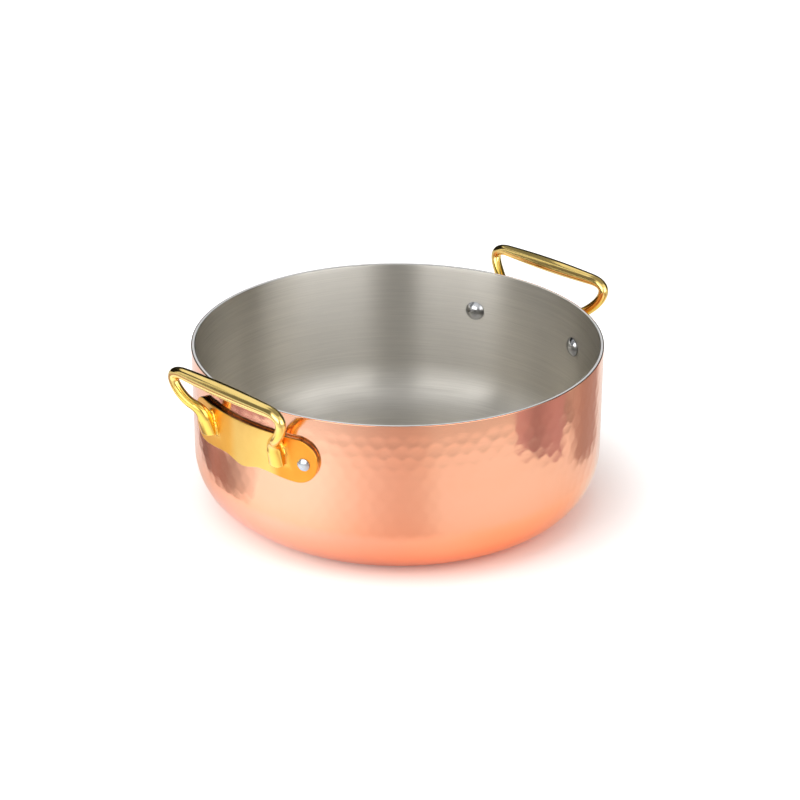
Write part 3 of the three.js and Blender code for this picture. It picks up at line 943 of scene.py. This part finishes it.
class CASSEROLE_OT_rivets(bpy.types.Operator):
    """Makes the four rivets"""
    bl_idname = "casserole.rivets"
    bl_label = "Rivets"

    def execute(self, context):
        scene = context.scene
        size, handle, pot = scene.casserole_rivet, scene.casserole_handle, scene.casserole_pot
        bright = rivet_material(scene.casserole_looks)
        for side, flip in (("left", -1), ("right", 1)):
            for reach in (-size.reach, size.reach):
                place = "front" if reach * flip < 0 else "back"
                points, corners, counts = rivet_points(size, handle, pot, reach, flip)
                piece = mesh_piece(f"{side}_{place}_rivet", points, corners, counts,
                                   f"{side}_handle_{place}_rivet", crease=math.radians(50))
                piece.data.materials.append(bright)
        return {"FINISHED"}


def stage_piece(name, points, faces, material, run=None):
    """A mesh of the stage, such as the floor or a card; run holds a uv pair for each point."""
    mesh = bpy.data.meshes.new(name)
    mesh.from_pydata([tuple(p) for p in points], [], faces)
    mesh.materials.append(material)
    if run is not None:
        layer = mesh.uv_layers.new(name="Run")
        layer.data.foreach_set("uv", run[np.ravel(faces)].astype(np.float32).ravel())
    piece = bpy.data.objects.new(name, mesh)
    bpy.context.scene.collection.objects.link(piece)
    return piece


def sectors(tree, vector, turn, tones):
    """A colour ramp over the angle round Z, whose stops are (degrees from the turn, colour) pairs."""
    turned = add(tree, "ShaderNodeMapping", {"Vector": vector, "Rotation": (0, 0, -turn)})
    angle = add(tree, "ShaderNodeTexGradient", {"Vector": turned.outputs["Vector"]}, gradient_type="RADIAL")
    return colour_ramp(tree, angle.outputs["Fac"], "B_SPLINE",
                       [(0.5 + degrees / 360, tone) for degrees, tone in tones])


def floor_material(look, turn, right):
    """The floor: white for the eye, and in reflections toned by soft sectors.

    The sectors lie round the pot, from a fixed direction, the turn, and are painted light and shade that
    stand for the two soft boxes' light on a satin floor. One set holds close to the pot and one farther out,
    and beyond its far edge the floor is painted darker. A faint glow keeps it white for the eye, and is left
    out round a point to the right of the pot's middle, which lets the pot's shadow show and paints a faint
    shade of its own.
    """
    material, tree = new_material("Pale floor")
    path = add(tree, "ShaderNodeLightPath").outputs
    place = add(tree, "ShaderNodeTexCoord").outputs["Object"]
    away = length_of(tree, place)
    wide, close = (sectors(tree, place, turn, tones) for tones in (FLOOR_SECTORS, NEAR_SECTORS))
    half_tone = mixed(tree, ranged(tree, away, *NEAR_FLOOR, smooth=True), wide, close)
    level = ranged(tree, away, *FAR_FLOOR, low=2, high=1.38, smooth=True)
    tone = add(tree, "ShaderNodeVectorMath", {0: half_tone, 3: level}, operation="SCALE").outputs["Vector"]
    plain = mixed(tree, path["Is Camera Ray"], look.floor, (1, 1, 1))
    diffuse = add(tree, "ShaderNodeBsdfDiffuse", {"Color": mixed(tree, path["Is Glossy Ray"], plain, tone)})
    # Painted shade: the glow is left out round a point to the right of the pot's middle
    shade = add(tree, "ShaderNodeVectorMath", {0: place, 1: tuple(SHADE_ASIDE * right)}, operation="SUBTRACT")
    lit = ranged(tree, length_of(tree, shade.outputs[0]), *SHADE_EDGE, high=0.30, smooth=True)
    glow = add(tree, "ShaderNodeEmission", {"Color": (1, 1, 1),
                                            "Strength": maths(tree, "MULTIPLY", path["Is Camera Ray"], lit)})
    both = add(tree, "ShaderNodeAddShader", {0: diffuse.outputs[0], 1: glow.outputs[0]})
    add(tree, "ShaderNodeOutputMaterial", {"Surface": both.outputs[0]})
    return material


def card_material(name, colour, soft):
    """A glowing card of one tone with faint soft upright stripes, clear towards its ends and its top."""
    material, tree = new_material(name)
    place = add(tree, "ShaderNodeTexCoord").outputs
    upright = add(tree, "ShaderNodeMapping", {"Vector": place["Object"], "Scale": (1, 1, 0.02)})
    stripes = ranged(tree, noise(tree, upright.outputs["Vector"], 16, 2), 0.3, 0.7, low=0.6, high=1.4)
    # Painted reflection: the card's glow is all that the metals show of it
    light = add(tree, "ShaderNodeEmission", {"Color": colour, "Strength": stripes})
    run = parts_of(tree, place["UV"])
    left, right, top = (ranged(tree, run[axis], start, end, smooth=True) for axis, start, end in (
        ("X", 0, soft[0]), ("X", 1, 1 - soft[1]), ("Y", 1, 1 - soft[2])))
    solid = maths(tree, "MULTIPLY", maths(tree, "MULTIPLY", left, right), top)
    clear = add(tree, "ShaderNodeBsdfTransparent")
    both = add(tree, "ShaderNodeMixShader", {0: solid, 1: clear.outputs[0], 2: light.outputs[0]})
    add(tree, "ShaderNodeOutputMaterial", {"Surface": both.outputs[0]})
    return material


def room_material():
    """The dim room beyond the lamps, whose tone is the dome's own colour attribute."""
    material, tree = new_material("Dim room")
    # Painted light and shade: the dome glows with the patches' tones and is seen only in reflections
    light = add(tree, "ShaderNodeEmission", {"Color": attribute(tree, "tone")["Color"], "Strength": 1})
    add(tree, "ShaderNodeOutputMaterial", {"Surface": light.outputs[0]})
    return material


def only_reflected(piece):
    """Shows a card in reflections only, so that it takes no light away and stays out of the picture."""
    for ray in ("camera", "diffuse", "shadow", "transmission", "volume_scatter"):
        setattr(piece, f"visible_{ray}", False)


def standing_card(name, front, right, line, tall, material):
    """A strip that stands on the floor along a line of (right, front) places."""
    foot = np.array([right * x + front * y for x, y in line])
    count = len(line)
    points = np.concatenate([foot, foot + (0, 0, tall)])
    faces = [(i, i + 1, count + i + 1, count + i) for i in range(count - 1)]
    way = way_along(foot)
    run = np.stack([np.tile(way / way[-1], 2), np.repeat([0.0, 1.0], count)], -1)
    only_reflected(stage_piece(name, points, faces, material, run))


def lying_card(name, front, right, corners, height, material):
    """A level card at a height whose corners are (right, front) places."""
    points = [right * x + front * y + (0, 0, height) for x, y in corners]
    run = np.full((len(points), 2), 0.5)
    only_reflected(stage_piece(name, points, [tuple(range(len(points)))], material, run))


def room_dome(front, right):
    """Half a sphere round the set whose tone is white, with each patch laid over it with soft edges.

    A patch's share is the product of two ramps, round and above, that rise over its edge's width. There is
    a point every two degrees round and every degree up.
    """
    turn, rise = np.meshgrid(np.linspace(-180, 180, 181), np.linspace(-2, 90, 93), indexing="ij")
    tone = np.ones_like(turn)
    for left, end, low, high, edge, level in ROOM_PATCHES:
        share = (np.clip(np.minimum(turn - left, end - turn) / edge + 0.5, 0, 1)
                 * np.clip(np.minimum(rise - low, high - rise) / edge + 0.5, 0, 1))
        tone = tone + (level - tone) * share
    across, above = np.radians(turn)[..., None], np.radians(rise)[..., None]
    level = front * (np.cos(above) * np.cos(across)) + right * (np.cos(above) * np.sin(across))
    points = (level + np.array([0, 0, 1.0]) * np.sin(above)) * ROOM_RADIUS
    columns, rows = turn.shape
    i, j = np.meshgrid(np.arange(columns - 1), np.arange(rows - 1), indexing="ij")
    corner = (i * rows + j).ravel()
    faces = np.stack([corner, corner + rows, corner + rows + 1, corner + 1], -1)
    piece = stage_piece("room", points.reshape(-1, 3), faces.tolist(), room_material())
    layer = piece.data.attributes.new("tone", "FLOAT_COLOR", "POINT")
    colour = np.stack([tone] * 3 + [np.ones_like(tone)], -1)
    layer.data.foreach_set("color", colour.astype(np.float32).ravel())
    only_reflected(piece)


def studio_world():
    """White for the eye and for reflections, and a plain soft light for everything else."""
    world = bpy.data.worlds.new("Studio")
    bpy.context.scene.world = world
    tree = new_tree(world)
    path = add(tree, "ShaderNodeLightPath").outputs
    seen = maths(tree, "MAXIMUM", path["Is Camera Ray"], path["Is Glossy Ray"])
    seen = maths(tree, "MAXIMUM", seen, path["Is Transmission Ray"])
    strength = ranged(tree, seen, 0, 1, low=SOFT_LIGHT)
    light = add(tree, "ShaderNodeBackground", {"Color": (1, 1, 1), "Strength": strength})
    add(tree, "ShaderNodeOutputWorld", {"Surface": light.outputs[0]})


def lamp(name, place, side, power):
    """A soft square lamp turned towards the pot, hidden from reflections, which show the room instead."""
    data = bpy.data.lights.new(name, "AREA")
    data.shape = "SQUARE"
    data.size = side
    data.energy = power
    piece = bpy.data.objects.new(name, data)
    piece.location = place
    piece.rotation_mode = "QUATERNION"
    piece.rotation_quaternion = (LAMP_TARGET - Vector(place)).to_track_quat("-Z", "Y")
    piece.visible_glossy = False
    bpy.context.scene.collection.objects.link(piece)


def studio_camera(size, front, right, up):
    """The camera, which looks at a point over the pot's middle from the front, and is rolled a little."""
    camera = bpy.data.cameras.new("camera")
    camera.sensor_width = SENSOR
    camera.lens = LENS
    camera.shift_x, camera.shift_y = (pixels / PICTURE for pixels in SHIFT_PIXELS)
    camera.clip_end = 100
    eye = bpy.data.objects.new("camera", camera)
    bpy.context.scene.collection.objects.link(eye)
    back = front * math.cos(size.view_rise) + up * math.sin(size.view_rise)
    top = np.cross(back, right)
    c, s = math.cos(size.view_roll), math.sin(size.view_roll)
    axes = np.column_stack([c * right + s * top, c * top - s * right, back,
                            back * size.view_distance + up * size.view_height])
    eye.matrix_world = Matrix([*axes.tolist(), [0, 0, 0, 1]])
    bpy.context.scene.camera = eye


class CASSEROLE_OT_stage(bpy.types.Operator):
    """Makes the pale floor, the room and cards that only reflections show, the lamps and the camera"""
    bl_idname = "casserole.stage"
    bl_label = "Studio"

    def execute(self, context):
        scene = context.scene
        size, look = scene.casserole_stage, scene.casserole_looks
        front = np.array([math.cos(size.view_turn), math.sin(size.view_turn), 0])
        right = np.array([-front[1], front[0], 0])
        up = np.array([0, 0, 1.0])
        half = size.floor_size / 2
        floor = [(x * half, y * half, FLOOR_LEVEL) for x, y in ((-1, -1), (1, -1), (1, 1), (-1, 1))]
        stage_piece("floor", floor, [(0, 1, 2, 3)], floor_material(look, size.view_turn, right))
        room_dome(front, right)
        for name, colour, tall, soft, line in STANDING_CARDS:
            material = card_material(name, getattr(look, colour), soft)
            standing_card(name, front, right, line, tall, material)
        for name, colour, height, corners in LYING_CARDS:
            material = card_material(name, getattr(look, colour), CLEAR_ENDS)
            lying_card(name, front, right, corners, height, material)
        for name, (ahead, aside, above), side, power in SOFT_BOXES:
            lamp(name, front * ahead + right * aside + up * above, side, power)
        studio_camera(size, front, right, up)
        studio_world()
        scene.view_settings.view_transform = "Standard"
        return {"FINISHED"}


class CASSEROLE_PT_panel(bpy.types.Panel):
    """Sizes, colours and steps of the casserole pot"""
    bl_label = "Casserole"
    bl_idname = "CASSEROLE_PT_panel"
    bl_space_type = "VIEW_3D"
    bl_region_type = "UI"
    bl_category = "Casserole"

    def draw(self, context):
        layout = self.layout
        for kind in OPERATORS:
            layout.operator(kind.bl_idname)
        for name, kind in GROUPS.items():
            box = layout.box()
            box.label(text=kind.bl_rna.description)
            for key in kind.__annotations__:
                box.prop(getattr(context.scene, name), key)


GROUPS = {
    "casserole_pot": PotSizes,
    "casserole_handle": HandleSizes,
    "casserole_rivet": RivetSizes,
    "casserole_looks": Finishes,
    "casserole_stage": StageSizes,
}
OPERATORS = (CASSEROLE_OT_body, CASSEROLE_OT_handles, CASSEROLE_OT_rivets, CASSEROLE_OT_stage)


def register():
    for kind in (*GROUPS.values(), *OPERATORS, CASSEROLE_PT_panel):
        bpy.utils.register_class(kind)
    for name, kind in GROUPS.items():
        setattr(bpy.types.Scene, name, PointerProperty(type=kind))


def unregister():
    for name in GROUPS:
        delattr(bpy.types.Scene, name)
    for kind in reversed((*GROUPS.values(), *OPERATORS, CASSEROLE_PT_panel)):
        bpy.utils.unregister_class(kind)


def main():
    register()
    for kind in OPERATORS:
        family, name = kind.bl_idname.split(".")
        getattr(getattr(bpy.ops, family), name)()
    bpy.context.view_layer.update()


if __name__ == "__main__":
    main()
